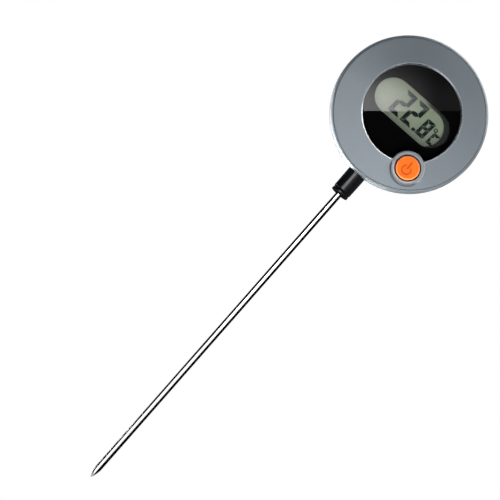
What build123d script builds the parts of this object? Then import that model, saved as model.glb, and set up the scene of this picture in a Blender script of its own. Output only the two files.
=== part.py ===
from build123d import *
import os
from math import cos, radians, sin

# Digital soil thermometer: a round display head on a black collar, with a thin
# pointed steel probe below it. All sizes are in millimetres.
#
# Frame: +Z points up, the probe points to -Z and the display faces -Y. The origin is
# on the probe's axis, where the probe leaves the collar. Depths are values of y, so a
# smaller depth is nearer to the reader.

os.makedirs("parts", exist_ok=True)

# ---------------------------------------------------------------- driving dimensions
# Head
head_up = 46.7  # height of the head's axis
head_r = 35.0
face_r = 33.8  # outer edge of the sloping face
face_depth = -6.6
rim_r = 22.35  # inner edge of the sloping face, round the window
rim_depth = -10.3
edge_r = 1.7  # rounding between the face and the side wall
parting_depth = -1.2  # where the front housing meets the rear shell
back_depth = 6.8
wall = 2.0
seam_bevel = 0.3

# Window and display, both centred a little off the head's axis
window_x = 0.7
display_x = 0.5
display_up = 0.6
window_r = 21.9
lens_depth = -9.7
lens_thick = 1.5
lens_edge_r = 0.2
rim_bevel = 0.4
mask_thick = 0.15
adhesive_thick = 0.15
ledge_r = 20.2  # opening in the ledge that carries the lens
ledge_back = -6.6
aperture_long = 38.5
aperture_high = 16.8

# Power button
button_x = 15.0
button_up = -19.5  # measured from the head's axis
button_r = 5.4
button_gap = 0.55
button_front = -11.0
button_edge_r = 0.6
button_mouth_r = 0.2
boss_r = 7.65
boss_depth = -10.7
flange_r = 6.5
flange_front = -7.7
flange_thick = 0.8

# Board and screws
board_r = 28.5
board_front = -3.2
board_back = -1.6
post_ring_r = 28.8  # case screws
post_r = 2.7
post_angles = (30, 150, 210, 330)
stud_ring_r = 25.5  # board screws
stud_r = 2.2
stud_angles = (0, 90, 180, 250)

# Battery bay, on the head's centre line a little above its axis
cell_up = 3.0
cell_r = 10.0
cell_thick = 3.2
cell_depth = 1.9
cover_r = 15.5
plug_r = 12.8
plug_wall = 1.6
plug_depth = 3.0
bay_hole_r = 13.0
lug_r = 14.4
lug_count = 3
lug_wide = 5.0
lug_thick = 1.1
lug_free_turn = 60  # degrees between the lugs at rest and the gaps that free them

# Collar and probe
collar_low_r = 4.3
collar_top_r = 4.4
lip_r = 4.2
lip_high = 1.05
groove_r = 3.9
groove_high = 1.05
collar_straight_from = 11.9
flange_low = 16.3
flange_top = 18.0
collar_flange_r = 6.0
stem_r = 1.5
stem_bore_r = 0.9
stem_seat_r = 1.3  # reduced end that sits in the collar
stem_top = 20.2
stem_straight_to = -159.6
stem_tip = -165.5
ferrule_r = 2.3
ferrule_high = 1.8
ferrule_bevel = 0.3

# Clearances
close_gap = 0.05
part_gap = 0.15
skin = 0.1

head_profile = Plane.XY.offset(head_up)  # profiles as (radius, depth)
head_axis = Axis((0, 0, head_up), (0, 1, 0))
stem_profile = Plane.XZ  # profiles as (radius, height)


def at_depth(depth):
    """Plane facing the reader at a depth; its x and y run right and up from the head's axis."""
    return Plane(origin=(0, depth, head_up), x_dir=(1, 0, 0), z_dir=(0, -1, 0))


def on_ring(ring_r, angles):
    """Points on a circle about the head's axis, in the planes of at_depth."""
    return [(ring_r * cos(radians(a)), ring_r * sin(radians(a))) for a in angles]


def write(part, name):
    """Labels one finished piece and writes its STEP file."""
    part.label = name
    export_step(part, f"parts/{name}.step")


posts = on_ring(post_ring_r, post_angles)
studs = on_ring(stud_ring_r, stud_angles)
face_slope = (face_depth - rim_depth) / (face_r - rim_r)
corner_depth = face_depth + face_slope * (head_r - face_r)

# ---------------------------------------------------------------- front housing
decor_groove = 0.22
rim_land = 0.35
boss_edge_r = 0.8
inner_flat_r = 27.5
inner_side_depth = -4.9
flange_side_gap = 0.2
seal_low_r = 33.6
seal_high_r = 34.3
seal_deep = 0.8
screw_hole_r = 1.02
stud_hole_r = 0.83
screw_hole_deep = 4.2
stud_hole_deep = 2.9
ledge_open_front = lens_depth + lens_thick

with BuildPart() as front_housing:
    # Side wall and rounded edge
    with BuildSketch(head_profile):
        with BuildLine():
            Polyline(
                (inner_flat_r, ledge_back),
                (face_r, face_depth),
                (head_r, corner_depth),
                (head_r, parting_depth - seam_bevel),
                (head_r - seam_bevel, parting_depth),
                (head_r - wall, parting_depth),
                (head_r - wall, inner_side_depth),
                close=True,
            )
        make_face()
        fillet(vertices().sort_by_distance((head_r, corner_depth, head_up))[0], edge_r)
    revolve(axis=head_axis)
    # Sloping face: a cone from the outer edge up to the rim round the window
    with BuildSketch(at_depth(face_depth)):
        Circle(face_r)
    with BuildSketch(at_depth(rim_depth)):
        with Locations((window_x, 0)):
            Circle(rim_r + rim_land)
    loft()
    # Fine groove that separates the face from the rounded edge
    with BuildSketch(head_profile):
        with Locations((face_r, face_depth)):
            RegularPolygon(decor_groove, 4)
    revolve(axis=head_axis, mode=Mode.SUBTRACT)
    # Window pocket down to the ledge that carries the lens
    with BuildSketch(at_depth(lens_depth + lens_thick + mask_thick + adhesive_thick)):
        with Locations((window_x, 0)):
            Circle(window_r)
    extrude(amount=lens_depth - rim_depth + 2 * lens_thick, mode=Mode.SUBTRACT)
    rim_edge = edges().filter_by(GeomType.CIRCLE).filter_by(
        lambda e: abs(e.radius - window_r) < 0.01 and abs(e.center().Y - rim_depth) < 0.01
    )
    chamfer(rim_edge, rim_bevel)
    with BuildSketch(at_depth(ledge_back)):
        with Locations((window_x, 0)):
            Circle(ledge_r)
    extrude(amount=ledge_back - ledge_open_front, mode=Mode.SUBTRACT)
    # Raised boss round the power button; it stands partly over the window
    with BuildSketch(at_depth(ledge_back)):
        with Locations((button_x, button_up)):
            Circle(boss_r)
    extrude(amount=ledge_back - boss_depth)
    boss_edge = edges().filter_by(GeomType.CIRCLE).filter_by(
        lambda e: abs(e.radius - boss_r) < 0.01 and abs(e.center().Y - boss_depth) < 0.01
    )
    fillet(boss_edge, boss_edge_r)
    with BuildSketch(at_depth(0)):
        with Locations((button_x, button_up)):
            Circle(button_r + button_gap)
    extrude(amount=-boss_depth, mode=Mode.SUBTRACT)
    button_mouth = edges().filter_by(GeomType.CIRCLE).filter_by(
        lambda e: abs(e.radius - button_r - button_gap) < 0.01
        and abs(e.center().Y - boss_depth) < 0.01
    )
    fillet(button_mouth, button_mouth_r)
    with BuildSketch(at_depth(0)):
        with Locations((button_x, button_up)):
            Circle(flange_r + flange_side_gap)
    extrude(amount=-flange_front + skin, mode=Mode.SUBTRACT)
    # Posts for the case screws and studs for the board
    with BuildSketch(at_depth(parting_depth - skin)):
        with Locations(*posts):
            Circle(post_r)
    extrude(until=Until.NEXT)
    with BuildSketch(at_depth(board_front)):
        with Locations(*studs):
            Circle(stud_r)
    extrude(until=Until.NEXT)
    with BuildSketch(at_depth(parting_depth)):
        with Locations(*posts):
            Circle(screw_hole_r)
    extrude(amount=screw_hole_deep, mode=Mode.SUBTRACT)
    with BuildSketch(at_depth(board_front)):
        with Locations(*studs):
            Circle(stud_hole_r)
    extrude(amount=stud_hole_deep, mode=Mode.SUBTRACT)
    # Groove for the housing seal in the rear edge
    with BuildSketch(at_depth(parting_depth)):
        Circle(seal_high_r)
        Circle(seal_low_r, mode=Mode.SUBTRACT)
    extrude(amount=seal_deep, mode=Mode.SUBTRACT)
    # Opening for the collar in the lower wall
    with BuildSketch(Plane.XY):
        Circle(collar_top_r + close_gap)
    extrude(amount=flange_top, mode=Mode.SUBTRACT)
write(front_housing.part, "front_housing")

# ---------------------------------------------------------------- rear shell
floor_depth = 4.8
floor_r = 31.0
side_in_r = 32.9
back_r = 32.8
back_edge_r = 2.0
tongue_out_r = 32.8
tongue_in_r = 31.9
tongue_long = 1.4
neck_r = 6.6
neck_low = 13.3
neck_high = 4.0
neck_edge_r = 0.8
head_bore_r = 2.1  # counterbores of the case screws
head_seat = 5.0
screw_clear_r = 1.1
cover_seat = 5.8
ledge_front = 4.3
bay_wall_r = 16.2
lug_side_gap = 0.4
rib_y = 3.1
rib_long = 16.0
rib_deep = 3.4
rib_high = 1.6

with BuildPart() as rear_shell:
    with BuildSketch(head_profile):
        with BuildLine():
            Polyline(
                (0, parting_depth),
                (head_r - seam_bevel, parting_depth),
                (head_r, parting_depth + seam_bevel),
                (back_r, back_depth),
                (0, back_depth),
                close=True,
            )
        make_face()
        fillet(vertices().sort_by_distance((back_r, back_depth, head_up))[0], back_edge_r)
    revolve(axis=head_axis)
    # Neck round the back half of the collar
    with BuildSketch(stem_profile):
        with Locations((neck_r / 2, neck_low + neck_high / 2)):
            Rectangle(neck_r, neck_high)
        fillet(vertices().sort_by_distance((neck_r, 0, neck_low))[0], neck_edge_r)
    revolve(axis=Axis.Z)
    with BuildSketch(at_depth(parting_depth)):
        Rectangle(3 * head_r, 3 * head_r)
    extrude(amount=2 * neck_r, mode=Mode.SUBTRACT)
    # Hollow inside
    with BuildSketch(head_profile):
        with BuildLine():
            Polyline(
                (0, parting_depth),
                (side_in_r, parting_depth),
                (floor_r, floor_depth),
                (0, floor_depth),
                close=True,
            )
        make_face()
    revolve(axis=head_axis, mode=Mode.SUBTRACT)
    # Tongue that centres the shell in the front housing
    with BuildSketch(at_depth(parting_depth)):
        Circle(tongue_out_r)
        Circle(tongue_in_r, mode=Mode.SUBTRACT)
    extrude(amount=tongue_long)
    with BuildSketch(at_depth(floor_depth)):
        Circle(side_in_r)
        Circle(tongue_in_r, mode=Mode.SUBTRACT)
    extrude(amount=floor_depth - parting_depth)
    # Posts for the case screws
    with BuildSketch(at_depth(floor_depth)):
        with Locations(*posts):
            Circle(post_r)
    extrude(amount=floor_depth - parting_depth)
    with BuildSketch(at_depth(back_depth)):
        with Locations(*posts):
            Circle(head_bore_r)
    extrude(amount=back_depth - head_seat, mode=Mode.SUBTRACT)
    with BuildSketch(at_depth(back_depth)):
        with Locations(*posts):
            Circle(screw_clear_r)
    extrude(amount=back_depth - parting_depth, mode=Mode.SUBTRACT)
    # Battery bay: thickened floor, hole, seat for the cover's flange and gaps for its lugs
    with BuildSketch(at_depth(floor_depth)):
        with Locations((0, cell_up)):
            Circle(bay_wall_r)
    extrude(amount=floor_depth - ledge_front)
    with BuildSketch(at_depth(back_depth)):
        with Locations((0, cell_up)):
            Circle(cover_r + part_gap)
    extrude(amount=back_depth - cover_seat, mode=Mode.SUBTRACT)
    with BuildSketch(at_depth(back_depth)):
        with Locations((0, cell_up)):
            Circle(bay_hole_r)
    extrude(amount=back_depth, mode=Mode.SUBTRACT)
    with BuildSketch(at_depth(back_depth)):
        with Locations((0, cell_up)):
            with PolarLocations((lug_r + plug_r) / 2, lug_count, start_angle=90 + lug_free_turn):
                Rectangle(lug_r - plug_r + 2 * lug_side_gap, lug_wide + 2 * lug_side_gap)
    extrude(amount=back_depth, mode=Mode.SUBTRACT)
    # Saddle rib that holds the collar's flange down
    with BuildSketch(Plane.XY.offset(flange_top + skin)):
        with Locations((0, rib_y)):
            Rectangle(rib_long, rib_deep)
        Circle(ferrule_r + part_gap, mode=Mode.SUBTRACT)
    extrude(amount=rib_high)
    # Opening for the collar
    with BuildSketch(Plane.XY):
        Circle(collar_top_r + close_gap)
    extrude(amount=flange_low, mode=Mode.SUBTRACT)
    # Room for the collar's flange
    with BuildSketch(Plane.XY.offset(flange_low - skin)):
        Rectangle(2 * (collar_flange_r + part_gap), 2 * (floor_depth - skin))
    extrude(amount=flange_top - flange_low + 2 * skin, mode=Mode.SUBTRACT)
write(rear_shell.part, "rear_shell")

with BuildPart() as housing_seal:
    with BuildSketch(at_depth(parting_depth)):
        Circle(seal_high_r - close_gap)
        Circle(seal_low_r + close_gap, mode=Mode.SUBTRACT)
    extrude(amount=seal_deep)
    # Gap where the collar passes
    with BuildSketch(Plane.XY):
        Circle(collar_top_r + close_gap)
    extrude(amount=flange_low, mode=Mode.SUBTRACT)
write(housing_seal.part, "housing_seal")

# ---------------------------------------------------------------- window
lens_r = window_r - part_gap
mask_depth = lens_depth + lens_thick
adhesive_depth = mask_depth + mask_thick
bite_r = boss_r + part_gap  # cut in the window round the button's boss


def window_sheet(front_depth, thick):
    """Sketch plane and thickness of a sheet whose front is at a depth."""
    return at_depth(front_depth + thick)


with BuildPart() as window_lens:
    with BuildSketch(window_sheet(lens_depth, lens_thick)):
        with Locations((window_x, 0)):
            Circle(lens_r)
        with Locations((button_x, button_up)):
            Circle(bite_r, mode=Mode.SUBTRACT)
    extrude(amount=lens_thick)
    fillet(faces().sort_by(Axis.Y)[0].edges(), lens_edge_r)
write(window_lens.part, "window_lens")

with BuildPart() as window_mask:
    with BuildSketch(window_sheet(mask_depth, mask_thick)):
        with Locations((window_x, 0)):
            Circle(lens_r)
        with Locations((display_x, display_up)):
            SlotOverall(aperture_long, aperture_high, mode=Mode.SUBTRACT)
        with Locations((button_x, button_up)):
            Circle(bite_r, mode=Mode.SUBTRACT)
    extrude(amount=mask_thick)
write(window_mask.part, "window_mask")

with BuildPart() as lens_adhesive:
    with BuildSketch(window_sheet(adhesive_depth, adhesive_thick)):
        with Locations((window_x, 0)):
            Circle(lens_r)
            Circle(ledge_r + skin, mode=Mode.SUBTRACT)
        with Locations((button_x, button_up)):
            Circle(bite_r, mode=Mode.SUBTRACT)
    extrude(amount=adhesive_thick)
write(lens_adhesive.part, "lens_adhesive")

# ---------------------------------------------------------------- liquid crystal display
glass_long = 40.5
polariser_long = 39.9
polariser_high = 20.6
reflector_long = 40.1
reflector_high = 18.0
front_glass_high = 22.4
rear_glass_high = 18.2
polariser_depth = -6.5
polariser_thick = 0.15
glass_thick = 1.05
segment_thick = 0.1
reflector_thick = 0.15
frame_long = 43.5
frame_high = 25.0
frame_front = -6.5
strip_wide = 1.6
strip_up = 10.1
strip_long = 36.0
frame_corner_r = 1.0
glass_side_gap = 0.15

front_glass_depth = polariser_depth + polariser_thick
segment_depth = front_glass_depth + glass_thick
rear_glass_depth = segment_depth + segment_thick
reflector_depth = rear_glass_depth + glass_thick


def display_plate(long, high, front_depth, thick, name):
    """Writes one rectangular sheet of the display."""
    with BuildPart() as plate:
        with BuildSketch(at_depth(front_depth + thick)):
            with Locations((display_x, display_up)):
                Rectangle(long, high)
        extrude(amount=thick)
    write(plate.part, name)


display_plate(polariser_long, polariser_high, polariser_depth, polariser_thick, "lcd_polariser")
display_plate(glass_long, front_glass_high, front_glass_depth, glass_thick, "lcd_front_glass")
display_plate(glass_long, rear_glass_high, rear_glass_depth, glass_thick, "lcd_rear_glass")
display_plate(reflector_long, reflector_high, reflector_depth, reflector_thick, "lcd_reflector")

# Digits "22.8" and the unit: seven-segment bars with mitred ends, leaning to the right
lean = 0.09
bar_gap = 0.09
base_line = -4.8
digits_x = 0.6
dot_left = 4.15
dot_wide = 1.7
dot_high = 1.35
degree_x = 13.6
degree_up = 2.05
degree_size = 1.8
degree_hole = 0.9
degree_corner_r = 0.5
degree_hole_r = 0.25


def digit_bars(wide, high, bar):
    """Outlines of a digit's bars by name, with the digit's lower left corner at (0, 0)."""
    mid = high / 2
    top = [
        (bar_gap, high),
        (wide - bar_gap, high),
        (wide - bar - bar_gap, high - bar),
        (bar + bar_gap, high - bar),
    ]
    upper_left = [
        (0, high - bar_gap),
        (bar, high - bar - bar_gap),
        (bar, mid + bar / 2 + bar_gap),
        (bar / 2, mid + bar_gap),
        (0, mid + bar_gap),
    ]
    middle = [
        (bar / 2 + bar_gap, mid),
        (bar + bar_gap, mid + bar / 2),
        (wide - bar - bar_gap, mid + bar / 2),
        (wide - bar / 2 - bar_gap, mid),
        (wide - bar - bar_gap, mid - bar / 2),
        (bar + bar_gap, mid - bar / 2),
    ]
    lower_left = [(x, high - y) for x, y in upper_left]
    return {
        "top": top,
        "middle": middle,
        "bottom": [(x, high - y) for x, y in top],
        "upper_left": upper_left,
        "lower_left": lower_left,
        "upper_right": [(wide - x, y) for x, y in upper_left],
        "lower_right": [(wide - x, y) for x, y in lower_left],
    }


def place(outline, left, base):
    """A bar's outline on the display, leaning about the base line."""
    return [(digits_x + left + x + lean * y, base + y) for x, y in outline]


two = ("top", "upper_right", "middle", "lower_left", "bottom")
eight = two + ("upper_left", "lower_right")
letter_c = ("top", "upper_left", "lower_left", "bottom")
symbols = (  # bars, left edge, width, height, bar width
    (two, -9.45, 6.15, 12.55, 1.95),
    (two, -2.55, 6.15, 12.55, 1.95),
    (eight, 6.2, 4.6, 8.8, 1.6),
    (letter_c, 12.6, 3.8, 5.8, 1.25),
)

with BuildPart() as lcd_segments:
    with BuildSketch(at_depth(rear_glass_depth)):
        for bars, left, wide, high, bar in symbols:
            outlines = digit_bars(wide, high, bar)
            for bar_name in bars:
                Polygon(*place(outlines[bar_name], left, base_line), align=None)
        # Decimal point and the degree sign's small ring
        dot = [(0, 0), (dot_wide, 0), (dot_wide, dot_high), (0, dot_high)]
        Polygon(*place(dot, dot_left, base_line), align=None)
        with Locations((degree_x, degree_up)):
            RectangleRounded(degree_size, degree_size, degree_corner_r)
            RectangleRounded(degree_hole, degree_hole, degree_hole_r, mode=Mode.SUBTRACT)
    extrude(amount=segment_thick)
write(lcd_segments.part, "lcd_segments")

with BuildPart() as lcd_frame:
    with BuildSketch(at_depth(board_front)):
        with Locations((display_x, display_up)):
            RectangleRounded(frame_long, frame_high, frame_corner_r)
            Rectangle(
                glass_long + 2 * glass_side_gap,
                front_glass_high + 2 * glass_side_gap,
                mode=Mode.SUBTRACT,
            )
    extrude(amount=board_front - frame_front)
write(lcd_frame.part, "lcd_frame")

with BuildPart() as zebra_strips:
    with BuildSketch(at_depth(board_front)):
        with Locations((display_x, display_up + strip_up), (display_x, display_up - strip_up)):
            Rectangle(strip_long, strip_wide)
    extrude(amount=board_front - segment_depth)
write(zebra_strips.part, "zebra_strips")

# ---------------------------------------------------------------- circuit board
notch_wide = 8.4
notch_top = -25.4
chip_x = -9.5
chip_up = -17.5
chip_size = 7.0
chip_thick = 1.2
chip_bevel = 0.15
post_gap = 0.5
lead_pitch = 0.8
lead_wide = 0.35
lead_reach = 0.9
lead_thick = 0.25
chip_part_long = 1.6
chip_part_high = 0.9
chip_part_thick = 0.6

with BuildPart() as circuit_board:
    with BuildSketch(at_depth(board_back)):
        Circle(board_r)
        with Locations(*posts):
            Circle(post_r + post_gap, mode=Mode.SUBTRACT)
        with Locations(*studs):
            Circle(stud_hole_r, mode=Mode.SUBTRACT)
        with Locations((0, notch_top - 5)):
            Rectangle(notch_wide, 10, mode=Mode.SUBTRACT)
    extrude(amount=board_back - board_front)
write(circuit_board.part, "circuit_board")

with BuildPart() as controller_chip:
    with BuildSketch(at_depth(board_back + chip_thick)):
        with Locations((chip_x, chip_up)):
            Rectangle(chip_size, chip_size)
    extrude(amount=chip_thick)
    chamfer(faces().sort_by(Axis.Y)[-1].edges(), chip_bevel)
    with BuildSketch(at_depth(board_back + lead_thick)):
        with Locations((chip_x, chip_up)):
            for turn in (0, 90):
                with Locations(Rotation(0, 0, turn)):
                    with GridLocations(lead_pitch, 1, 7, 1):
                        Rectangle(lead_wide, chip_size + 2 * lead_reach)
    extrude(amount=lead_thick)
write(controller_chip.part, "controller_chip")

with BuildPart() as chip_components:
    with BuildSketch(at_depth(board_back + chip_part_thick)):
        with Locations((-19, -9), (-19, -6.5), (-19, -4), (18, -9), (20.5, -9), (14, 18), (10, 20)):
            Rectangle(chip_part_long, chip_part_high)
    extrude(amount=chip_part_thick)
write(chip_components.part, "chip_components")

# ---------------------------------------------------------------- power button and switch
switch_size = 6.0
switch_floor = 0.3
terminal_long = 1.3
terminal_wide = 0.8
terminal_thick = 0.25
terminal_row = 2.2
switch_front = -5.6
plunger_r = 1.5
plunger_flange_r = 2.1
plunger_front = -6.35
plunger_flange_front = -5.15
plunger_flange_back = -4.75
nub_r = 1.4
nub_back = plunger_front - skin
symbol_deep = 0.25
symbol_r = 2.0
symbol_line = 0.65
symbol_up = -1.0  # centre of the ring, from the button's centre
symbol_gap = 2.3
bar_wide = 0.9
bar_low = -0.7
bar_top = 3.2

with BuildPart() as power_button:
    with BuildSketch(at_depth(flange_front)):
        with Locations((button_x, button_up)):
            Circle(button_r)
    extrude(amount=flange_front - button_front)
    fillet(faces().sort_by(Axis.Y)[0].edges(), button_edge_r)
    # Power symbol sunk into the cap: an open ring with a bar in its gap
    with BuildSketch(at_depth(button_front + symbol_deep)):
        with Locations((button_x, button_up + symbol_up)):
            Circle(symbol_r + symbol_line / 2)
            Circle(symbol_r - symbol_line / 2, mode=Mode.SUBTRACT)
        with Locations((button_x, button_up + symbol_up + symbol_r)):
            Rectangle(symbol_gap, symbol_r, mode=Mode.SUBTRACT)
        with Locations((button_x, button_up + (bar_low + bar_top) / 2)):
            SlotOverall(bar_top - bar_low, bar_wide, rotation=90)
    extrude(amount=2 * symbol_deep, mode=Mode.SUBTRACT)
    with BuildSketch(at_depth(flange_front + flange_thick)):
        with Locations((button_x, button_up)):
            Circle(flange_r)
    extrude(amount=flange_thick)
    with BuildSketch(at_depth(nub_back)):
        with Locations((button_x, button_up)):
            Circle(nub_r)
    extrude(amount=nub_back - flange_front)
write(power_button.part, "power_button")

with BuildPart() as switch_body:
    with BuildSketch(at_depth(board_front)):
        with Locations((button_x, button_up)):
            Rectangle(switch_size, switch_size)
    extrude(amount=board_front - switch_front)
    with BuildSketch(at_depth(board_front - switch_floor)):
        with Locations((button_x, button_up)):
            Circle(plunger_flange_r + part_gap)
    extrude(
        amount=board_front - switch_floor - plunger_flange_front + close_gap, mode=Mode.SUBTRACT
    )
    with BuildSketch(at_depth(plunger_flange_front)):
        with Locations((button_x, button_up)):
            Circle(plunger_r + close_gap)
    extrude(amount=plunger_flange_front - switch_front, mode=Mode.SUBTRACT)
write(switch_body.part, "switch_body")

with BuildPart() as switch_plunger:
    with BuildSketch(at_depth(plunger_flange_back)):
        with Locations((button_x, button_up)):
            Circle(plunger_flange_r)
    extrude(amount=plunger_flange_back - plunger_flange_front)
    with BuildSketch(at_depth(plunger_flange_front)):
        with Locations((button_x, button_up)):
            Circle(plunger_r)
    extrude(amount=plunger_flange_front - plunger_front)
write(switch_plunger.part, "switch_plunger")

dome_rise = 0.75
dome_thick = 0.1
dome_top = plunger_flange_back + close_gap
dome_plane = Plane(origin=(button_x, 0, head_up + button_up), x_dir=(1, 0, 0), z_dir=(0, 0, 1))
dome_axis = Axis((button_x, 0, head_up + button_up), (0, 1, 0))

with BuildPart() as switch_dome:
    with BuildSketch(dome_plane):
        with BuildLine():
            outer = ThreePointArc(
                (0, dome_top),
                (plunger_flange_r / 2, dome_top + 0.25 * dome_rise),
                (plunger_flange_r, dome_top + dome_rise),
            )
            inner = ThreePointArc(
                (0, dome_top + dome_thick),
                (plunger_flange_r / 2, dome_top + 0.25 * dome_rise + dome_thick),
                (plunger_flange_r, dome_top + dome_rise + dome_thick),
            )
            Line(outer @ 0, inner @ 0)
            Line(outer @ 1, inner @ 1)
        make_face()
    revolve(axis=dome_axis)
write(switch_dome.part, "switch_dome")

with BuildPart() as switch_terminals:
    with BuildSketch(at_depth(board_front)):
        for side in (-1, 1):
            for row in (-1, 1):
                terminal_x = button_x + side * (switch_size + terminal_long) / 2
                with Locations((terminal_x, button_up + row * terminal_row)):
                    Rectangle(terminal_long, terminal_wide)
    extrude(amount=terminal_thick)
write(switch_terminals.part, "switch_terminals")

# ---------------------------------------------------------------- battery, contacts and cover
holder_in_r = 10.3
holder_out_r = 11.0
holder_top = 2.8
tray_front = 1.2
tray_back = 1.8
tray_hole_r = 4.4
strip_notch = 4.0
strip_notch_depth = 0.6
contact_x = cell_r + skin
contact_back = 4.5
contact_notch_x = 11.1
contact_notch_wide = 2.4
contact_thick = 0.3
strip_thick = 0.25
strip_half_wide = 1.5
cell_cap_high = 0.6
cell_cap_step = 1.2
cell_edge_r = 0.3
contact_reach = 3.6
contact_wide = 4.0
contact_slot = 4.6

with BuildPart() as battery_holder:
    with BuildSketch(at_depth(holder_top)):
        with Locations((0, cell_up)):
            Circle(holder_out_r)
            Circle(holder_in_r, mode=Mode.SUBTRACT)
    extrude(amount=holder_top - board_back)
    with BuildSketch(at_depth(tray_back)):
        with Locations((0, cell_up)):
            Circle(holder_out_r)
            Circle(tray_hole_r, mode=Mode.SUBTRACT)
    extrude(amount=tray_back - tray_front)
    with BuildSketch(at_depth(holder_top)):
        with Locations((contact_notch_x, cell_up)):
            Rectangle(contact_notch_wide, contact_slot)
    extrude(amount=holder_top - board_back, mode=Mode.SUBTRACT)
    with BuildSketch(at_depth(strip_notch_depth)):
        with Locations((0, cell_up - holder_out_r)):
            Rectangle(strip_notch, strip_notch)
    extrude(amount=strip_notch_depth - board_back, mode=Mode.SUBTRACT)
write(battery_holder.part, "battery_holder")

with BuildPart() as positive_contact:
    with BuildSketch(Plane.XY.offset(head_up + cell_up - contact_wide / 2)):
        with BuildLine():
            Polyline(
                (contact_x, board_back),
                (contact_x + contact_reach, board_back),
                (contact_x + contact_reach, board_back + contact_thick),
                (contact_x + contact_thick, board_back + contact_thick),
                (contact_x + contact_thick, contact_back),
                (contact_x, contact_back),
                close=True,
            )
        make_face()
    extrude(amount=contact_wide)
write(positive_contact.part, "positive_contact")

with BuildPart() as negative_contact:
    with BuildSketch(Plane.YZ):
        with BuildLine():
            Polyline(
                (board_back + strip_thick / 2, head_up + cell_up - 9),
                (board_back + strip_thick / 2, head_up + cell_up - 2.5),
                (cell_depth - strip_thick / 2 - 0.02, head_up + cell_up + 1.5),
                (cell_depth - strip_thick / 2 - 0.02, head_up + cell_up + 3.0),
                (cell_depth - 0.7, head_up + cell_up + 3.7),
            )
        trace(line_width=strip_thick)
    extrude(amount=strip_half_wide, both=True)
write(negative_contact.part, "negative_contact")

with BuildPart() as coin_cell:
    with BuildSketch(at_depth(cell_depth + cell_thick)):
        with Locations((0, cell_up)):
            Circle(cell_r)
    extrude(amount=cell_thick - cell_cap_high)
    with BuildSketch(at_depth(cell_depth + cell_cap_high)):
        with Locations((0, cell_up)):
            Circle(cell_r - cell_cap_step)
    extrude(amount=cell_cap_high)
    fillet(faces().sort_by(Axis.Y)[-1].edges(), cell_edge_r)
write(coin_cell.part, "coin_cell")

cover_back = back_depth - 0.1
cover_floor = 5.3
coin_slot_deep = 0.7
coin_slot_long = 14.0
coin_slot_wide = 1.8
mark_up = 12.6
mark_r = 0.7
cover_edge_r = 0.35
lug_overlap = 0.3
ring_wire_r = 0.5
ring_depth = 5.1
ring_proud = 0.12
ring_r = plug_r + ring_proud - ring_wire_r

with BuildPart() as battery_cover:
    with BuildSketch(at_depth(cover_back)):
        with Locations((0, cell_up)):
            Circle(cover_r)
    extrude(amount=cover_back - cover_seat - close_gap)
    fillet(faces().sort_by(Axis.Y)[-1].edges(), cover_edge_r)
    with BuildSketch(at_depth(cover_seat + close_gap)):
        with Locations((0, cell_up)):
            Circle(plug_r)
    extrude(amount=cover_seat + close_gap - plug_depth)
    # Lugs that lock behind the shell's floor
    with BuildSketch(at_depth(plug_depth + lug_thick)):
        with Locations((0, cell_up)):
            with PolarLocations((lug_r + plug_r) / 2 - lug_overlap, lug_count, start_angle=90):
                Rectangle(lug_r - plug_r + 2 * lug_overlap, lug_wide)
    extrude(amount=lug_thick)
    # Room for the cell inside the plug
    with BuildSketch(at_depth(cover_floor)):
        with Locations((0, cell_up)):
            Circle(plug_r - plug_wall)
    extrude(amount=cover_floor, mode=Mode.SUBTRACT)
    # Groove for the sealing ring
    with BuildSketch(at_depth(ring_depth + ring_wire_r + close_gap)):
        with Locations((0, cell_up)):
            Circle(plug_r + ring_wire_r)
            Circle(ring_r - ring_wire_r - close_gap, mode=Mode.SUBTRACT)
    extrude(amount=2 * (ring_wire_r + close_gap), mode=Mode.SUBTRACT)
    # Coin slot with rounded ends, and a dot that marks the locked position
    with BuildSketch(at_depth(cover_back)):
        with Locations((0, cell_up)):
            SlotOverall(coin_slot_long, coin_slot_wide)
        with Locations((0, cell_up + mark_up)):
            Circle(mark_r)
    extrude(amount=coin_slot_deep, mode=Mode.SUBTRACT)
write(battery_cover.part, "battery_cover")

with BuildPart() as cover_ring:
    with BuildSketch(Plane.XY.offset(head_up + cell_up)):
        with Locations((ring_r, ring_depth)):
            Circle(ring_wire_r)
    revolve(axis=Axis((0, 0, head_up + cell_up), (0, 1, 0)))
write(cover_ring.part, "cover_ring")

# ---------------------------------------------------------------- screws
case_head_r = 1.9
case_head_thick = 1.2
case_screw_tip = -4.6
board_head_r = 1.6
board_head_thick = 0.9
board_screw_tip = -5.6
case_shank_r = 1.0
board_shank_r = 0.8
head_edge_r = 0.3
cross_span = 1.2  # length of the recess's arms over the head's radius
cross_wide = 0.4


def cross_screws(points, seat, head_radius, head_thick, shank_r, tip):
    """A set of cross-recessed screws whose heads rest at a depth and face the back."""
    with BuildPart() as screws:
        with BuildSketch(at_depth(seat + head_thick)):
            with Locations(*points):
                Circle(head_radius)
        extrude(amount=head_thick)
        fillet(faces().filter_by(Plane.XZ).group_by(Axis.Y)[-1].edges(), head_edge_r)
        with BuildSketch(at_depth(seat)):
            with Locations(*points):
                Circle(shank_r)
        extrude(amount=seat - tip)
        with BuildSketch(at_depth(seat + head_thick)):
            with Locations(*points):
                Rectangle(cross_span * head_radius, cross_wide)
                Rectangle(cross_wide, cross_span * head_radius)
        extrude(amount=head_thick / 2, mode=Mode.SUBTRACT)
    return screws.part


write(
    cross_screws(posts, head_seat, case_head_r, case_head_thick, case_shank_r, case_screw_tip),
    "case_screws",
)
write(
    cross_screws(studs, board_back, board_head_r, board_head_thick, board_shank_r, board_screw_tip),
    "board_screws",
)

# ---------------------------------------------------------------- collar
seal_bore_r = 2.4
seal_low = 0.5
seal_top = 1.6
flat_depth = 4.5
lip_edge_r = 0.3
sleeve_edge_r = 0.2
fit_gap = 0.02

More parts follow.
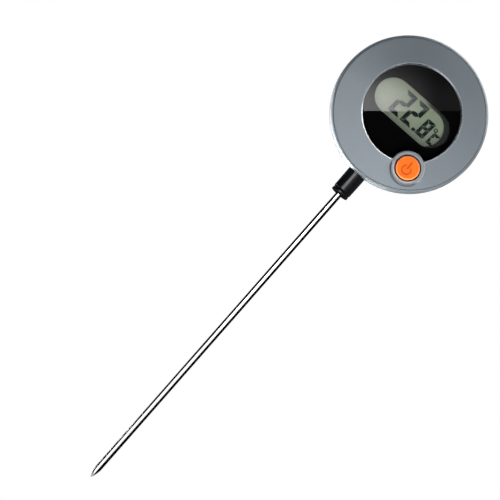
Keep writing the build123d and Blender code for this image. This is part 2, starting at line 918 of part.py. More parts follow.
with BuildPart() as collar:
    with BuildSketch(stem_profile):
        with BuildLine():
            Polyline(
                (stem_seat_r + close_gap, 0),
                (lip_r, 0),
                (lip_r, lip_high),
                (groove_r, lip_high + groove_high / 2),
                (collar_low_r, lip_high + groove_high),
                (collar_top_r, collar_straight_from),
                (collar_top_r, flange_low),
                (collar_flange_r, flange_low),
                (collar_flange_r, flange_top),
                (stem_seat_r + close_gap, flange_top),
                close=True,
            )
        make_face()
        fillet(vertices().filter_by(lambda v: abs(v.X - lip_r) < 0.01), lip_edge_r)
        sleeve_corner = (collar_low_r, 0, lip_high + groove_high)
        fillet(vertices().sort_by_distance(sleeve_corner)[0], sleeve_edge_r)
    revolve(axis=Axis.Z)
    # Seat of the probe's seal
    with BuildSketch(Plane.XY.offset(seal_low)):
        Circle(seal_bore_r)
    extrude(amount=seal_top - seal_low, mode=Mode.SUBTRACT)
    # Flats that keep the flange from turning in the housing
    with BuildSketch(Plane.XY.offset(flange_low)):
        for side in (-1, 1):
            with Locations((0, side * (flat_depth + collar_flange_r) / 2)):
                Rectangle(2 * collar_flange_r, collar_flange_r - flat_depth)
    extrude(amount=flange_top - flange_low, mode=Mode.SUBTRACT)
write(collar.part, "collar")

with BuildPart() as probe_seal:
    with BuildSketch(Plane.XY.offset(seal_low)):
        Circle(seal_bore_r - fit_gap)
        Circle(stem_seat_r + fit_gap, mode=Mode.SUBTRACT)
    extrude(amount=seal_top - seal_low)
write(probe_seal.part, "probe_seal")

with BuildPart() as stem_ferrule:
    with BuildSketch(Plane.XY.offset(flange_top)):
        Circle(ferrule_r)
        Circle(stem_seat_r + fit_gap, mode=Mode.SUBTRACT)
    extrude(amount=ferrule_high)
    chamfer(edges().group_by(Axis.Z)[-1].sort_by(SortBy.RADIUS)[-1], ferrule_bevel)
write(stem_ferrule.part, "stem_ferrule")

# ---------------------------------------------------------------- probe
tip_flat_r = 0.08
bore_end = -159.2
bead_r = 0.65
bead_low = -158.4
bead_top = -155.4
bead_edge_r = 0.5
bead_gap = 0.03
filler_low = -159.0
filler_top = -147.0
wire_r = 0.22
wire_x = 0.36
wire_bend_up = 24.9
wire_bend_r = 1.2

tip_long = stem_straight_to - stem_tip
ogive_r = (tip_long**2 + (stem_r - tip_flat_r) ** 2) / (2 * (stem_r - tip_flat_r))

with BuildPart() as probe_stem:
    with BuildSketch(stem_profile):
        with BuildLine():
            RadiusArc((stem_r, stem_straight_to), (tip_flat_r, stem_tip), ogive_r)
            Polyline(
                (tip_flat_r, stem_tip),
                (0, stem_tip),
                (0, bore_end),
                (stem_bore_r, bore_end),
                (stem_bore_r, stem_top),
                (stem_seat_r, stem_top),
                (stem_seat_r, 0),
                (stem_r, 0),
                (stem_r, stem_straight_to),
            )
        make_face()
    revolve(axis=Axis.Z)
write(probe_stem.part, "probe_stem")

with BuildPart() as thermistor:
    with BuildSketch(Plane.XY.offset(bead_low)):
        Circle(bead_r)
    extrude(amount=bead_top - bead_low)
    fillet(edges().group_by(Axis.Z)[0], bead_edge_r)
write(thermistor.part, "thermistor")

with BuildPart() as lead_wires:
    for side in (-1, 1):
        with BuildLine() as route:
            FilletPolyline(
                (side * wire_x, 0, bead_top),
                (side * wire_x, 0, wire_bend_up),
                (side * wire_x, board_back, wire_bend_up),
                radius=wire_bend_r,
            )
        with BuildSketch(Plane.XY.offset(bead_top)):
            with Locations((side * wire_x, 0)):
                Circle(wire_r)
        sweep(path=route.line)
write(lead_wires.part, "lead_wires")

with BuildPart() as tip_filler:
    with BuildSketch(Plane.XY.offset(filler_low)):
        Circle(stem_bore_r - close_gap)
    extrude(amount=filler_top - filler_low)
    with BuildSketch(Plane.XY.offset(bead_low - close_gap)):
        Circle(bead_r + bead_gap)
    extrude(amount=bead_top - bead_low + 2 * close_gap, mode=Mode.SUBTRACT)
    with BuildSketch(Plane.XY.offset(bead_top)):
        with Locations((wire_x, 0), (-wire_x, 0)):
            Circle(wire_r + bead_gap)
    extrude(amount=filler_top - bead_top, mode=Mode.SUBTRACT)
write(tip_filler.part, "tip_filler")
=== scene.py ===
from math import cos, radians, sin

import bpy
from mathutils import Matrix, Vector


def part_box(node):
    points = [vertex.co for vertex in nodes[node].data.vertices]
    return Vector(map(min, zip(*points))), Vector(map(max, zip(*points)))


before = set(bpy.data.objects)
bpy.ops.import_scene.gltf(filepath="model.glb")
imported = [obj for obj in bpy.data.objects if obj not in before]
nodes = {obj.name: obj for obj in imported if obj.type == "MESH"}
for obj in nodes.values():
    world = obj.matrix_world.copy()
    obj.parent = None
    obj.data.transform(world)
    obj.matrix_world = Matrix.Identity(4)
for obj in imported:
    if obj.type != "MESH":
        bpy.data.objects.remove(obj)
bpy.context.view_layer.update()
scene = bpy.context.scene
scene.view_settings.view_transform = "Standard"

# ---------------------------------------------------------------- camera
# The thermometer stands upright in the frame. The camera looks slightly up at its
# display with a long lens, rolled so that the probe runs to the picture's lower left.
CAMERA_RISE = radians(7.36)
CAMERA_ROLL = radians(41.35)
LENS = 300.0
SENSOR = 36.0
FRAME_WIDTH = 0.21928  # what the picture spans at the thermometer
AIM = Vector((-0.01315, 0.0, -0.04469))

camera_data = bpy.data.cameras.new("camera")
camera_data.lens = LENS
camera_data.sensor_width = SENSOR
camera_data.clip_start, camera_data.clip_end = 0.01, 50.0
camera = bpy.data.objects.new("camera", camera_data)
scene.collection.objects.link(camera)
scene.camera = camera

forward = Vector((0, cos(CAMERA_RISE), sin(CAMERA_RISE)))
level_up = Vector((0, -sin(CAMERA_RISE), cos(CAMERA_RISE)))
level_right = Vector((1, 0, 0))
right = level_right * cos(CAMERA_ROLL) + level_up * sin(CAMERA_ROLL)
up = level_up * cos(CAMERA_ROLL) - level_right * sin(CAMERA_ROLL)
distance = FRAME_WIDTH * LENS / SENSOR
camera_place = AIM - forward * distance


def set_axes(thing, x_axis, y_axis, z_axis, place):
    """Places an object with its own axes along three given directions."""
    thing.matrix_world = Matrix(
        [(x_axis[i], y_axis[i], z_axis[i], place[i]) for i in range(3)] + [(0, 0, 0, 1)]
    )


set_axes(camera, right, up, -forward, camera_place)


# ---------------------------------------------------------------- shader helpers
class Shader:
    """A material or world tree with short calls for adding and linking nodes."""

    def __init__(self, owner):
        owner.use_nodes = True
        self.tree = owner.node_tree
        self.tree.nodes.clear()

    def add(self, kind, settings=None, **inputs):
        """Adds a node. Inputs are values or sockets, by input name with underscores for spaces."""
        node = self.tree.nodes.new(kind)
        for key, value in (settings or {}).items():
            setattr(node, key, value)
        for key, value in inputs.items():
            self.set(node.inputs[key.replace("_", " ")], value)
        return node

    def set(self, socket, value):
        if isinstance(value, bpy.types.NodeSocket):
            self.tree.links.new(value, socket)
        elif value is not None:
            socket.default_value = value

    def math(self, operation, *values):
        node = self.tree.nodes.new("ShaderNodeMath")
        node.operation = operation
        for socket, value in zip(node.inputs, values):
            self.set(socket, value)
        return node.outputs[0]

    def between(self, value, low, high, out_low=0.0, out_high=1.0):
        """Maps a value from one range to another, smoothly and clamped."""
        node = self.add("ShaderNodeMapRange", {"interpolation_type": "SMOOTHSTEP"}, Value=value)
        for name, number in zip(
            ("From Min", "From Max", "To Min", "To Max"), (low, high, out_low, out_high)
        ):
            self.set(node.inputs[name], number)
        return node.outputs["Result"]

    def band(self, value, start, full, full_end, end):
        """One inside a range of the value and zero outside it, with soft sides."""
        return self.math(
            "MULTIPLY", self.between(value, start, full), self.between(value, end, full_end)
        )

    def ramp(self, factor, stops):
        """Colour ramp of (position, colour) stops."""
        node = self.add("ShaderNodeValToRGB", Fac=factor)
        elements = node.color_ramp.elements
        while len(elements) < len(stops):
            elements.new(0.5)
        for element, (position, colour) in zip(elements, stops):
            element.position = position
            element.color = (*colour, 1)
        return node.outputs["Color"]

    def height(self):
        """Height on the piece in its own coordinates."""
        return self.add("ShaderNodeSeparateXYZ", Vector=self.place()).outputs["Z"]

    def colours(self, factor, first, second):
        """Colour that goes from the first to the second with the factor."""
        node = self.add("ShaderNodeMix", {"data_type": "RGBA"})
        self.set(node.inputs[0], factor)
        self.set(node.inputs[6], (*first, 1) if isinstance(first, tuple) else first)
        self.set(node.inputs[7], (*second, 1) if isinstance(second, tuple) else second)
        return node.outputs[2]

    def place(self):
        """Position on the piece in its own coordinates, in metres."""
        return self.add("ShaderNodeTexCoord").outputs["Object"]

    def stretched(self, scale):
        """The piece's own coordinates, scaled along each axis."""
        return self.add("ShaderNodeMapping", Vector=self.place(), Scale=scale).outputs[0]

    def noise(self, scale, detail=2.0, vector=None, roughness=0.5):
        node = self.add(
            "ShaderNodeTexNoise",
            Vector=vector or self.place(),
            Scale=scale,
            Detail=detail,
            Roughness=roughness,
        )
        return node.outputs[0]

    def bump(self, height, depth, normal=None):
        """Surface relief of a depth in metres."""
        node = self.add("ShaderNodeBump", Height=height, Distance=depth, Strength=1.0)
        self.set(node.inputs["Normal"], normal)
        return node.outputs[0]

    def finish(self, **inputs):
        """Principled shader with these inputs, linked to the output."""
        shader = self.add("ShaderNodeBsdfPrincipled", **inputs)
        output = self.tree.nodes.new("ShaderNodeOutputMaterial")
        self.tree.links.new(shader.outputs[0], output.inputs["Surface"])
        return shader


def shade(colour, factor):
    """A colour made darker or lighter by a factor."""
    return tuple(min(channel * factor, 1.0) for channel in colour)


def new_material(name):
    material = bpy.data.materials.new(name)
    return material, Shader(material)


def moulded(name, colour, rough, grain=1800.0, depth=4e-6, spread=0.06, vary=0.10, **inputs):
    """Moulded or cast surface: fine grain relief, and slow changes of colour and gloss."""
    material, s = new_material(name)
    fine = s.noise(grain, 3.0)
    broad = s.noise(90.0, 3.0)
    tone = s.math("ADD", s.math("MULTIPLY", fine, 0.6), s.math("MULTIPLY", broad, 0.4))
    s.finish(
        Base_Color=s.colours(
            s.between(tone, 0.3, 0.7), shade(colour, 1 - vary), shade(colour, 1 + vary)
        ),
        Roughness=s.between(broad, 0.3, 0.7, rough - spread, rough + spread),
        Normal=s.bump(fine, depth),
        **inputs,
    )
    return material


def brushed(name, colour, rough, along, vary=0.12, depth=1.5e-6, across=6000.0):
    """Metal with fine marks along one axis of the frame."""
    material, s = new_material(name)
    scale = [across, across, across]
    scale["XYZ".index(along)] = across / 60
    marks = s.noise(1.0, 4.0, s.stretched(tuple(scale)), 0.6)
    broad = s.noise(120.0, 2.0)
    s.finish(
        Base_Color=s.colours(marks, shade(colour, 1 - vary), shade(colour, 1 + vary)),
        Metallic=1.0,
        Roughness=s.math(
            "ADD",
            s.between(marks, 0.3, 0.7, rough * 0.7, rough * 1.2),
            s.math("MULTIPLY", broad, rough * 0.3),
        ),
        Normal=s.bump(marks, depth),
    )
    return material


def box_of(node):
    """Lowest corner, highest corner and centre of a CAD node."""
    low, high = (Vector(corner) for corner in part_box(node))
    return low, high, (low + high) / 2


head_centre = box_of("front_housing")[2]
button_low, _, button_centre = box_of("power_button")
lens_low, _, window_centre = box_of("window_lens")


def ring_distance(s, x, z):
    """Distance from an axis along Y, in the piece's own coordinates, and the depth."""
    split = s.add("ShaderNodeSeparateXYZ", Vector=s.place())
    dx = s.math("SUBTRACT", split.outputs["X"], x)
    dz = s.math("SUBTRACT", split.outputs["Z"], z)
    squares = s.math("ADD", s.math("MULTIPLY", dx, dx), s.math("MULTIPLY", dz, dz))
    return s.math("SQRT", squares), split.outputs["Y"]


# ---------------------------------------------------------------- materials of the outside
PAINT_DARK = (0.178, 0.203, 0.222)
PAINT_LIGHT = (0.222, 0.250, 0.268)
GROOVE_DARK_AND_SHADE = (0.03, 0.035, 0.04)
RUBBED = (0.42, 0.44, 0.45)
HIGHLIGHT_PALE = (0.62, 0.65, 0.66)
BARE_METAL = (0.86, 0.87, 0.88)

# Where marks lie, in metres: two numbers are where a mark starts and where it is full, and
# four are those and where it ends again
BEVEL_EDGE = (0.02236, 0.0223)  # round the window's axis
BEVEL_DEPTH = (-0.0096, -0.0098)
BOSS_EDGE = (0.0077, 0.0078)  # round the button's axis, as are the next three
BOSS_FOOT = (0.0071, 0.0075, 0.0077, 0.0082)
BOSS_LIP = (0.0059, 0.0061, 0.0064, 0.0067)
BOSS_BROW = (0.0070, 0.0073, 0.0076, 0.0078)
BELOW_BUTTON = (-0.001, -0.004)  # up from the button's axis
FINE_GROOVE = (0.03352, 0.03366, 0.03396, 0.03412)  # round the head's axis
OUTER_EDGE = (0.0343, 0.0349)
SYMBOL_DEPTH = (0.00012, 0.0002)  # behind the cap's front
SYMBOL_EDGE = (0.0047, 0.0044)  # round the button's axis
CAP_EDGE = (0.0046, 0.0053)
CAP_HIGHLIGHT = (0.00478, 0.00496, 0.00512, 0.00532)
COLLAR_GROOVE = (0.00108, 0.0012, 0.00190, 0.00205)  # up from the collar's lower end
COLLAR_END = (0.00012, 0.00004)


def housing_paint():
    """Satin metallic paint with fine flakes, under a thin clear coat.

    The bevel round the window is cut bright. The fine groove near the edge is darker. Below
    the button, a painted shade darkens the foot of its boss and a painted highlight lightens
    the boss's inner lip; above the button, a painted highlight lightens the boss's outer edge.
    The outer edge is rubbed pale.
    """
    material, s = new_material("housing_grey")
    flakes = s.add("ShaderNodeTexVoronoi", Vector=s.place(), Scale=5200.0).outputs["Color"]
    flake = s.add("ShaderNodeSeparateColor", Color=flakes).outputs[0]
    peel = s.noise(700.0, 2.0)
    broad = s.noise(60.0, 3.0)
    from_axis, _ = ring_distance(s, head_centre.x, head_centre.z)
    from_window, depth = ring_distance(s, window_centre.x, window_centre.z)
    from_button, _ = ring_distance(s, button_centre.x, button_centre.z)
    bevel = s.math("MULTIPLY", s.between(from_window, *BEVEL_EDGE), s.between(depth, *BEVEL_DEPTH))
    cut = s.math("MULTIPLY", bevel, s.between(from_button, *BOSS_EDGE))
    # Darker colour in the fine groove near the edge
    groove_darkening = s.band(from_axis, *FINE_GROOVE)
    scuffs = s.between(s.noise(260.0, 4.0), 0.52, 0.66)
    rub = s.math("MULTIPLY", s.between(from_axis, *OUTER_EDGE), scuffs)
    below_button = s.between(s.height(), *(button_centre.z + up for up in BELOW_BUTTON))
    above_button = s.math("SUBTRACT", 1.0, below_button)
    # Painted shade: the foot of the boss is darkened, made duller and left without coat, on its
    # lower side only
    shade_below_boss = s.math("MULTIPLY", s.band(from_button, *BOSS_FOOT), below_button)
    # Painted highlights: the boss's inner lip below the button and its outer edge above the button
    # are painted pale
    lip_highlight = s.math("MULTIPLY", s.band(from_button, *BOSS_LIP), below_button)
    brow_highlight = s.math("MULTIPLY", s.band(from_button, *BOSS_BROW), above_button)
    painted_highlight = s.math("ADD", lip_highlight, brow_highlight)
    tone = s.math("ADD", s.math("MULTIPLY", flake, 0.55), s.math("MULTIPLY", broad, 0.45))
    paint = s.colours(tone, PAINT_DARK, PAINT_LIGHT)
    for amount, strength, colour in (
        (painted_highlight, 0.5, HIGHLIGHT_PALE),
        (rub, 0.35, RUBBED),
        (groove_darkening, 0.25, GROOVE_DARK_AND_SHADE),
        (shade_below_boss, 0.8, GROOVE_DARK_AND_SHADE),
    ):
        paint = s.colours(s.math("MULTIPLY", amount, strength), paint, colour)
    rough = s.math("ADD", s.between(flake, 0.0, 1.0, 0.38, 0.48), s.math("MULTIPLY", broad, 0.06))
    rough = s.math("MULTIPLY_ADD", shade_below_boss, 0.4, rough)
    clear = s.math("SUBTRACT", 1.0, shade_below_boss)
    s.finish(
        Base_Color=s.colours(cut, paint, BARE_METAL),
        Metallic=s.math("MULTIPLY", clear, s.math("MULTIPLY_ADD", cut, 0.6, 0.4)),
        Roughness=s.math("MULTIPLY_ADD", cut, -0.22, rough),
        Normal=s.bump(flake, 6e-7, s.bump(peel, 3e-6)),
        Coat_Weight=s.math("MULTIPLY", clear, 0.2),
        Coat_Roughness=0.2,
    )
    return material


def button_plastic():
    """Satin orange cap: slow colour changes, a painted shade in the sunk symbol and a painted
    highlight round the edge.
    """
    material, s = new_material("button_orange")
    radius, depth = ring_distance(s, button_centre.x, button_centre.z)
    # Painted shade: the floor of the sunk symbol is coloured darker
    symbol_shade = s.math(
        "MULTIPLY",
        s.between(depth, *(button_low.y + deep for deep in SYMBOL_DEPTH)),
        s.between(radius, *SYMBOL_EDGE),
    )
    fine = s.noise(2600.0, 3.0)
    broad = s.noise(180.0, 3.0)
    cap = s.colours(s.between(broad, 0.3, 0.7), (0.93, 0.150, 0.008), (1.0, 0.180, 0.012))
    # Painted highlight: a pale band round the cap's edge
    painted_highlight = s.math("MULTIPLY", s.band(radius, *CAP_HIGHLIGHT), 0.75)
    cap = s.colours(painted_highlight, cap, (1.0, 0.42, 0.20))
    s.finish(
        Base_Color=s.colours(symbol_shade, cap, (0.68, 0.085, 0.006)),
        Specular_IOR_Level=0.12,
        Roughness=s.math("MULTIPLY_ADD", broad, 0.06, s.between(radius, *CAP_EDGE, 0.42, 0.3)),
        Normal=s.bump(fine, 2.5e-6),
        Subsurface_Weight=0.08,
        Subsurface_Radius=(0.0009, 0.0004, 0.0002),
        Subsurface_Scale=1.0,
    )
    return material


def probe_steel():
    """Polished stainless tube: fine lengthwise lines and faint dull patches from use."""
    material, s = new_material("probe_steel")
    lines = s.noise(1.0, 3.0, s.stretched((9000.0, 9000.0, 45.0)), 0.6)
    patches = s.noise(1.0, 4.0, s.stretched((260.0, 260.0, 60.0)))
    s.finish(
        Base_Color=s.colours(lines, (0.78, 0.785, 0.79), (0.90, 0.90, 0.895)),
        Metallic=1.0,
        Roughness=s.math(
            "ADD",
            s.between(lines, 0.3, 0.7, 0.06, 0.09),
            s.between(patches, 0.5, 0.75, 0.0, 0.05),
        ),
        Normal=s.bump(lines, 1e-7),
    )
    return material


def collar_plastic():
    """Glossy black plastic with a fine swirl, matt in its groove and on its trimmed end."""
    material, s = new_material("collar_black")
    height = s.height()
    matt = s.math("MAXIMUM", s.band(height, *COLLAR_GROOVE), s.between(height, *COLLAR_END))
    broad = s.noise(90.0, 3.0)
    fine = s.noise(500.0, 3.0)
    s.finish(
        Base_Color=s.colours(
            s.between(fine, 0.3, 0.7), (0.0035, 0.0035, 0.004), (0.0055, 0.0055, 0.006)
        ),
        Roughness=s.math("MULTIPLY_ADD", matt, 0.8, s.between(broad, 0.3, 0.7, 0.10, 0.17)),
        Specular_IOR_Level=s.between(matt, 0.0, 1.0, 0.25, 0.0),
        Normal=s.bump(fine, 8e-7),
    )
    return material


def window_clear():
    """Clear polished window with faint wiping marks."""
    material, s = new_material("window_clear")
    wiped = s.noise(1.0, 4.0, s.stretched((110.0, 110.0, 320.0)))
    s.finish(
        Base_Color=(1, 1, 1, 1),
        Roughness=s.between(wiped, 0.55, 0.8, 0.0, 0.02),
        IOR=1.49,
        Transmission_Weight=1.0,
    )
    return material


def display_sheet(name, colour, alpha, rough):
    """Thin clear layer of the display, with a fine surface grain."""
    material, s = new_material(name)
    s.finish(
        Base_Color=(*colour, 1),
        Roughness=s.between(s.noise(3000.0, 2.0), 0.3, 0.7, rough - 0.05, rough + 0.05),
        Alpha=alpha,
    )
    return material


OPENING = head_centre + Vector((0.0005, 0.0, 0.0006))  # middle of the display's opening
OPENING_R = 0.0084
OPENING_STRAIGHT = 0.01085  # from the middle to where the round end starts
# The next numbers place the painted shadow of the opening's edge on the film
SHADOW_LEFT = 0.0025  # how far the opening's edge throws its shadow
SHADOW_DOWN = 0.0007
SHADOW_SOFT = 0.0004
SHADOW_FROM = (0.0, 0.006)  # along X: the left half has no shadow


def opening_shadow(s):
    """Painted shadow: a dark edge painted on the film where the opening's edge would throw its
    shadow, at the top and right end.
    """
    split = s.add("ShaderNodeSeparateXYZ", Vector=s.place())
    across = s.math("SUBTRACT", split.outputs["X"], OPENING.x + OPENING_STRAIGHT - SHADOW_LEFT)
    across = s.math("MAXIMUM", across, 0.0)
    up = s.math("SUBTRACT", split.outputs["Z"], OPENING.z - SHADOW_DOWN)
    squares = s.math("ADD", s.math("MULTIPLY", across, across), s.math("MULTIPLY", up, up))
    edge = (OPENING_R - SHADOW_SOFT, OPENING_R + SHADOW_SOFT)
    dark = s.between(s.math("SQRT", squares), *edge)
    return s.math("MULTIPLY", dark, s.between(split.outputs["X"], *SHADOW_FROM))


def display_ground():
    """Grey-green reflective film seen behind the digits, with a pearly grain and a painted shadow
    of the opening at its top and right end.
    """
    material, s = new_material("reflector")
    grain = s.noise(5200.0, 3.0)
    broad = s.noise(70.0, 2.0)
    tone = s.math("ADD", s.math("MULTIPLY", grain, 0.7), s.math("MULTIPLY", broad, 0.3))
    film = s.colours(s.between(tone, 0.3, 0.7), (0.125, 0.155, 0.097), (0.155, 0.187, 0.120))
    # Painted shadow: the film's colour and gloss are darkened where the opening's shadow would
    # fall
    shadow = s.math("MULTIPLY", opening_shadow(s), 0.95)
    s.finish(
        Base_Color=s.colours(shadow, film, (0.004, 0.005, 0.004)),
        Specular_IOR_Level=s.between(shadow, 0.0, 1.0, 0.5, 0.1),
        Roughness=s.between(grain, 0.3, 0.7, 0.5, 0.65),
        Normal=s.bump(grain, 1.5e-6),
    )
    return material


def circuit_laminate():
    """Green solder mask with slightly raised tracks under it."""
    material, s = new_material("board_laminate")
    tracks = s.add(
        "ShaderNodeTexBrick",
        {"offset": 0.35, "squash": 1.6},
        Vector=s.stretched((420.0, 420.0, 420.0)),
        Scale=1.0,
        Mortar_Size=0.08,
        Color1=(0.0, 0.0, 0.0, 1),
        Color2=(0.0, 0.0, 0.0, 1),
        Mortar=(1, 1, 1, 1),
    ).outputs["Color"]
    fine = s.noise(2400.0, 2.0)
    mask = s.colours(fine, (0.012, 0.10, 0.045), (0.018, 0.135, 0.06))
    s.finish(
        Base_Color=s.colours(tracks, mask, (0.03, 0.22, 0.10)),
        Roughness=s.between(fine, 0.3, 0.7, 0.26, 0.36),
        Normal=s.bump(tracks, 2e-5),
    )
    return material


ground = display_ground()
shell = moulded(
    "shell_black", (0.016, 0.0165, 0.018), 0.5, grain=2400.0, depth=1.4e-5, spread=0.04, vary=0.12
)
rubber = moulded("seal_rubber", (0.02, 0.02, 0.021), 0.75, grain=1500.0, depth=8e-6)
MATERIALS = {
    "front_housing": housing_paint(),
    "rear_shell": shell,
    "battery_cover": shell,
    "power_button": button_plastic(),
    "collar": collar_plastic(),
    "probe_stem": probe_steel(),
    "window_lens": window_clear(),
    "window_mask": moulded(
        "mask_black", (0.003, 0.003, 0.0032), 0.6, grain=3000.0, depth=1e-6, Specular_IOR_Level=0.0
    ),
    "lcd_polariser": display_sheet("polariser", (0.04, 0.05, 0.04), alpha=0.04, rough=0.3),
    "lcd_front_glass": display_sheet(
        "display_glass", (0.04, 0.05, 0.045), alpha=0.02, rough=0.12
    ),
    "lcd_segments": moulded(
        "display_ink",
        (0.003, 0.006, 0.006),
        0.5,
        grain=4000.0,
        depth=1e-6,
        spread=0.05,
        vary=0.25,
        Specular_IOR_Level=0.0,
    ),
    "lcd_rear_glass": ground,
    "lcd_reflector": ground,
    "lcd_frame": moulded("frame_plastic", (0.035, 0.035, 0.036), 0.55),
    "zebra_strips": moulded(
        "zebra_rubber", (0.30, 0.20, 0.25), 0.7, grain=3500.0, depth=1e-5, spread=0.05, vary=0.3
    ),
    "housing_seal": rubber,
    "cover_ring": rubber,
    "probe_seal": rubber,
    "lens_adhesive": moulded("adhesive", (0.03, 0.03, 0.03), 0.8, grain=1200.0, depth=1e-5),
    "circuit_board": circuit_laminate(),
    "controller_chip": moulded(
        "component_black", (0.025, 0.025, 0.026), 0.6, grain=3000.0, depth=6e-6
    ),
    "chip_components": moulded(
        "component_body", (0.30, 0.22, 0.14), 0.5, grain=3000.0, depth=4e-6
    ),
    "switch_body": moulded("switch_plastic", (0.03, 0.03, 0.031), 0.5),
    "switch_dome": brushed("spring_steel", (0.62, 0.61, 0.58), 0.25, "X"),
    "battery_holder": moulded("holder_plastic", (0.04, 0.04, 0.042), 0.5),
    "coin_cell": brushed("cell_steel", (0.70, 0.70, 0.71), 0.22, "X"),
    "case_screws": brushed("screw_steel", (0.50, 0.50, 0.51), 0.3, "X"),
    "stem_ferrule": brushed("ferrule_brass", (0.72, 0.50, 0.22), 0.28, "X"),
    "thermistor": moulded("bead_epoxy", (0.03, 0.03, 0.035), 0.2, grain=800.0, depth=3e-6),
    "lead_wires": moulded("wire_sleeve", (0.50, 0.03, 0.025), 0.4, grain=2500.0, depth=3e-6),
    "tip_filler": moulded("filler", (0.62, 0.62, 0.60), 0.7, grain=2500.0, depth=1.2e-5),
}
SHARED = {
    "switch_plunger": "switch_body",
    "switch_terminals": "switch_dome",
    "positive_contact": "switch_dome",
    "negative_contact": "switch_dome",
    "board_screws": "case_screws",
}
for node, other in SHARED.items():
    MATERIALS[node] = MATERIALS[other]
for node, material in MATERIALS.items():
    mesh = nodes[node].data
    mesh.materials.clear()
    mesh.materials.append(material)
nodes["window_lens"].visible_shadow = False  # clear, so it doesn't darken the display

# ---------------------------------------------------------------- studio
# The sky that lights and is mirrored: brightness from straight down (-1) to straight up (1)
SKY_STRENGTH = 1.28
SKY_TINT = (0.93, 1.0, 1.08)
SKY_STOPS = ((-1.0, 0.4), (-0.4, 0.5), (-0.22, 0.03), (0.1, 0.03), (0.3, 0.3), (1.0, 0.25))

world = bpy.data.worlds.new("studio")
scene.world = world
s = Shader(world)
direction = s.add("ShaderNodeTexCoord").outputs["Generated"]
level = s.add("ShaderNodeSeparateXYZ", Vector=direction).outputs["Z"]
sky = s.ramp(
    s.math("MULTIPLY_ADD", level, 0.5, 0.5),
    [(at * 0.5 + 0.5, shade(SKY_TINT, light)) for at, light in SKY_STOPS],
)
lighting = s.add("ShaderNodeBackground", Color=sky, Strength=SKY_STRENGTH)
backdrop = s.add("ShaderNodeBackground", Color=(1, 1, 1, 1), Strength=1.0)
direct = s.add("ShaderNodeLightPath").outputs["Is Camera Ray"]
choice = s.add("ShaderNodeMixShader", Fac=direct)
s.tree.links.new(lighting.outputs[0], choice.inputs[1])
s.tree.links.new(backdrop.outputs[0], choice.inputs[2])
output = s.tree.nodes.new("ShaderNodeOutputWorld")
s.tree.links.new(choice.outputs[0], output.inputs["Surface"])


X_AXIS, Y_AXIS, Z_AXIS = Vector((1, 0, 0)), Vector((0, 1, 0)), Vector((0, 0, 1))


def panel(name, wide, high, material):
    """A flat rectangle in its own XY plane, centred, as part of the studio."""
    mesh = bpy.data.meshes.new(name)
    x, y = wide / 2, high / 2
    mesh.from_pydata([(-x, -y, 0), (x, -y, 0), (x, y, 0), (-x, y, 0)], [], [(0, 1, 2, 3)])
    mesh.materials.append(material)
    thing = bpy.data.objects.new(name, mesh)
    scene.collection.objects.link(thing)
    return thing


def glow(name, colour, strength):
    """Light-giving material. The strength is a number, or a function that makes its socket."""
    material = bpy.data.materials.new(name)
    s = Shader(material)
    level = strength(s) if callable(strength) else strength
    shader = s.add("ShaderNodeEmission", Color=(*colour, 1), Strength=level)
    output = s.tree.nodes.new("ShaderNodeOutputMaterial")
    s.tree.links.new(shader.outputs[0], output.inputs["Surface"])
    return material


def studio_card(name, wide, high, material, x_axis, y_axis, place):
    """A card that shows in glossy reflections and nowhere else."""
    card = panel(name, wide, high, material)
    set_axes(card, x_axis, y_axis, x_axis.cross(y_axis), place)
    card.visible_camera = False
    card.visible_diffuse = False
    card.visible_transmission = False
    card.visible_shadow = False
    return card


def front_card(name, left, right, low, high, away, material):
    """A card that stands upright in front of the object, across X."""
    middle = Vector(((left + right) / 2, -away, (low + high) / 2))
    return studio_card(name, right - left, high - low, material, X_AXIS, Z_AXIS, middle)


def round_card(name, direction, wide, high, away, shift, strength):
    """A white card that faces the head's centre from a direction, then shifted."""
    across = Y_AXIS.cross(direction).normalized()
    place = head_centre + direction * away + shift
    white = glow(name.replace("card_", "") + "_white", (1, 1, 1), strength)
    return studio_card(name, wide, high, white, across, direction.cross(across), place)


# Pale floor, below the camera's lowest line of sight
FLOOR_UP = -0.30
FLOOR_WIDE = 8.0
floor_paper = moulded(
    "floor_pale",
    (0.80, 0.80, 0.80),
    0.7,
    grain=60.0,
    depth=1e-5,
    spread=0.05,
    vary=0.02,
    Emission_Color=(1, 1, 1, 1),
    Emission_Strength=0.45,
)
floor = panel("floor", FLOOR_WIDE, FLOOR_WIDE, floor_paper)
floor.location = (0, 0, FLOOR_UP)
floor.visible_glossy = False
floor.visible_diffuse = False
floor.visible_shadow = False

# Dark cards each side of the probe, which draw the dark lines along its edges
SIDE_CARD_X = 0.10
SIDE_CARD_BACK = 0.60
SIDE_CARD_UP = -0.10
SIDE_CARD_HIGH = 0.24
black_card = glow("card_black", (0, 0, 0), 0.0)
for name, side, front in (("card_left", -1, -0.070), ("card_right", 1, -0.145)):
    studio_card(
        name,
        SIDE_CARD_BACK - front,
        SIDE_CARD_HIGH,
        black_card,
        Y_AXIS,
        Z_AXIS,
        Vector((side * SIDE_CARD_X, (front + SIDE_CARD_BACK) / 2, SIDE_CARD_UP)),
    )

# Wide soft box in front of the probe and the collar, brightest a little left of centre
BOX_STOPS = ((-4.1, 0.35), (-1.5, 0.8), (-0.9, 12.0), (-0.25, 12.0), (0.4, 1.1), (2.0, 1.0))
BOX_LEFT, BOX_RIGHT = BOX_STOPS[0][0], BOX_STOPS[-1][0]


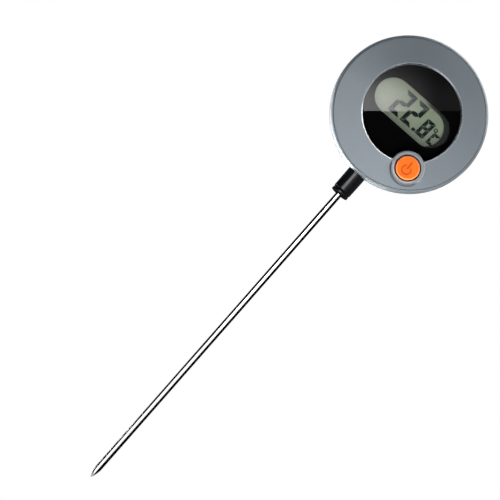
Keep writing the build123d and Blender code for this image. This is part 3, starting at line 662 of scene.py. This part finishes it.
def box_light(s):
    """Brightness along the box's width."""
    across = s.add("ShaderNodeSeparateXYZ", Vector=s.place()).outputs["X"]
    wide = BOX_RIGHT - BOX_LEFT
    middle = (BOX_LEFT + BOX_RIGHT) / 2
    strongest = max(light for _, light in BOX_STOPS)
    light = s.ramp(
        s.math("MULTIPLY_ADD", across, 1 / wide, (middle - BOX_LEFT) / wide),
        [((x - BOX_LEFT) / wide, (light / strongest,) * 3) for x, light in BOX_STOPS],
    )
    return s.math("MULTIPLY", light, strongest)


box_glow = glow("box_gradient", (1, 1, 1), box_light)
front_card(
    "soft_box", BOX_LEFT, BOX_RIGHT, low=0.04, high=0.325, away=2.0, material=box_glow
)

# Low card in front, which the lower end of the probe mirrors
low_glow = glow("low_white", (1, 1, 1), 1.4)
front_card(
    "card_low", left=-0.55, right=0.12, low=-0.38, high=-0.03, away=0.40, material=low_glow
)

# Card below and to the left, which draws the white line round the lower edge
UNDER = Vector((-0.50, 0.0, -0.87)).normalized()
round_card(
    "card_under", UNDER, wide=0.40, high=0.34, away=0.30, shift=Y_AXIS * 0.24, strength=37.0
)

# Card above and to the right, which lights the lower half of the window's bright bevel
OVERHEAD = Vector((0.28, 0.14, 0.94)).normalized()
round_card(
    "card_overhead", OVERHEAD, wide=0.48, high=0.22, away=0.35, shift=Vector(), strength=4.5
)

# Card that the window mirrors: bright above a straight edge and dark below it
PICTURE = 500  # pixels across
EDGE_PIXEL = (398.0, 111.0)  # a point of the mirrored edge, from the picture's top left
CARD_FAR = 0.30
CARD_WIDE = 0.075
pixel = FRAME_WIDTH / PICTURE
edge_right = (EDGE_PIXEL[0] - PICTURE / 2) * pixel
edge_up = (PICTURE / 2 - EDGE_PIXEL[1]) * pixel
toward = (AIM + right * edge_right + up * edge_up - camera_place).normalized()
hit = camera_place + toward * ((lens_low.y - camera_place.y) / toward.y)


def mirrored(direction):
    """A direction as the flat window mirrors it."""
    return Vector((direction.x, -direction.y, direction.z))


def card_light(s):
    """Bright above the card's middle line, fading to the right and upwards."""
    split = s.add("ShaderNodeSeparateXYZ", Vector=s.place())
    above = s.between(split.outputs["Y"], -0.0002, 0.0002)
    across = s.between(split.outputs["X"], -0.020, 0.022, out_low=3.6, out_high=0.2)
    upward = s.between(split.outputs["Y"], 0.004, 0.024, out_low=1.0, out_high=0.2)
    return s.math("MULTIPLY", above, s.math("MULTIPLY", across, upward))


window_glow = glow("card_gradient", (1.0, 0.98, 1.0), card_light)
edge_place = hit + mirrored(toward) * CARD_FAR
card = studio_card(
    "card_window", CARD_WIDE, CARD_WIDE, window_glow, mirrored(right), mirrored(up), edge_place
)
card.visible_transmission = True


def soft_light(name, place, size, power):
    """Round area light aimed at the head. It lights the object but isn't mirrored in it."""
    data = bpy.data.lights.new(name, "AREA")
    data.shape = "DISK"
    data.size = size
    data.energy = power
    light = bpy.data.objects.new(name, data)
    scene.collection.objects.link(light)
    light.location = place
    light.rotation_euler = (head_centre - Vector(place)).to_track_quat("-Z", "Y").to_euler()
    light.visible_glossy = False
    light.visible_camera = False


# Key light from the front right, and two closer ones that light the lower face
soft_light("key", (0.50, -0.40, 0.08), size=0.20, power=1.25)
soft_light("side", (0.22, -0.16, -0.10), size=0.12, power=0.40)
soft_light("below", (0.11, -0.17, -0.18), size=0.16, power=0.68)
